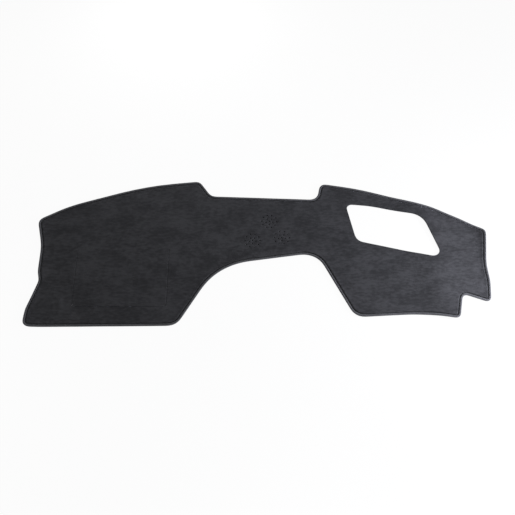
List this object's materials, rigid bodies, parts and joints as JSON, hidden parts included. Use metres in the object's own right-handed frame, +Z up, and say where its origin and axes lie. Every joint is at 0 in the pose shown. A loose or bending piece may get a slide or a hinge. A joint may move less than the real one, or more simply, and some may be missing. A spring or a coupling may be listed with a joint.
{
  "type": "dashboard cover mat",
  "caption": "Felt cover mat cut to lie on a dashboard, with a taped edge, a window, an airbag flap and speaker perforations.",
  "frame": {"origin": "middle of the mat's length and depth, on the surface that the mat lies on", "axes": "+X along the dashboard to the end with the window, +Y to the windscreen edge, +Z up"},
  "size_m": [1.4177, 0.5306, 0.014],
  "materials": {
    "felt": "matt needle-punched felt, charcoal black with a fine grain along the length",
    "tape": "matt woven edging tape, folded and sewn, black"
  },
  "bodies": {
    "root": {"felt_sheet": "felt", "edge_tape": "tape"}
  },
  "joints": []
}
